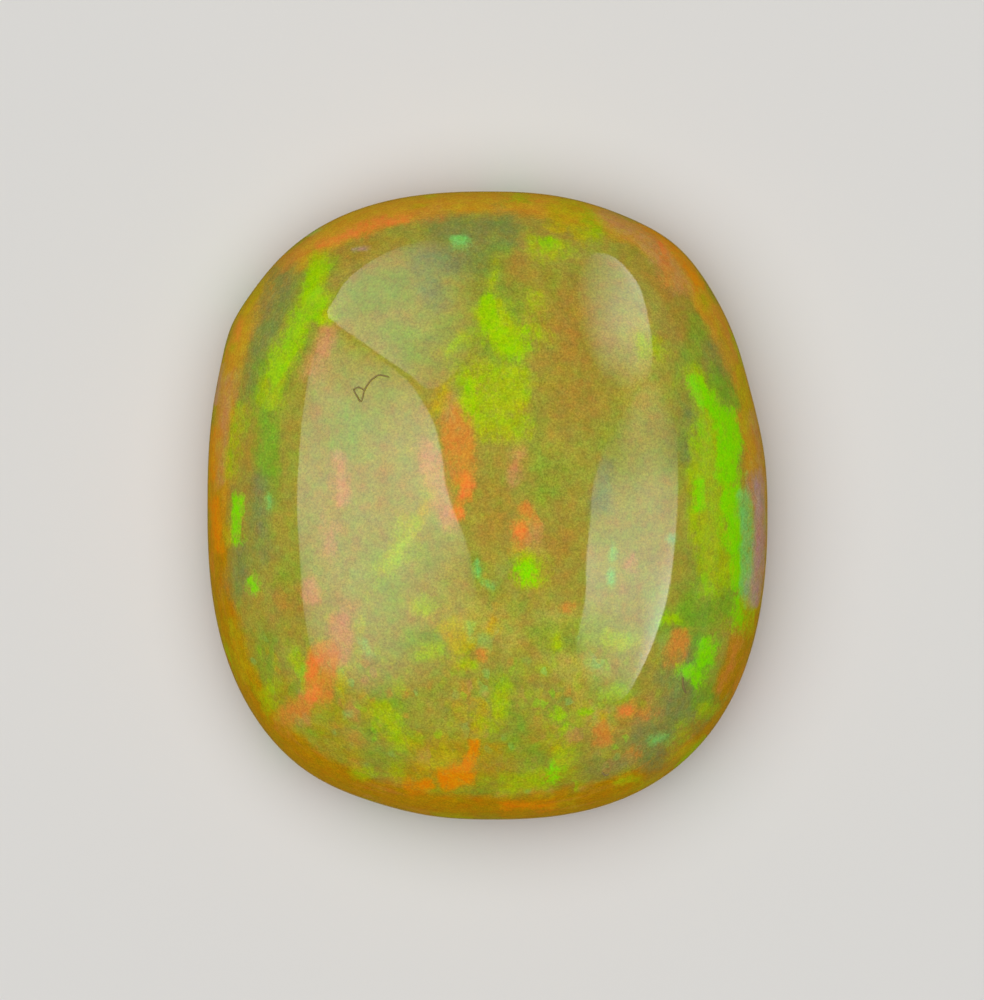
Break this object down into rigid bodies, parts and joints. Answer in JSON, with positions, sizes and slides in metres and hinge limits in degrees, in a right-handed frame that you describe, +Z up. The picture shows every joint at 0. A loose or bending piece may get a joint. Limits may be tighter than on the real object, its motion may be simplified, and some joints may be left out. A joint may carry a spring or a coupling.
{
  "type": "opal cabochon",
  "caption": "Loose cushion-shaped opal cabochon with a polished dome, a tucked-under back edge and a flat base, for setting in a ring or pendant or showing on a tray.",
  "frame": {"origin": "on the flat base, under the middle of the outline", "axes": "+Z up out of the dome, +Y along the stone's length, towards the top of the picture, and +X across its width, towards the right of the picture"},
  "size_m": [0.0142, 0.016, 0.0067],
  "materials": {
    "opal": "polished"
  },
  "bodies": {
    "root": {"opal": "opal"}
  },
  "joints": []
}
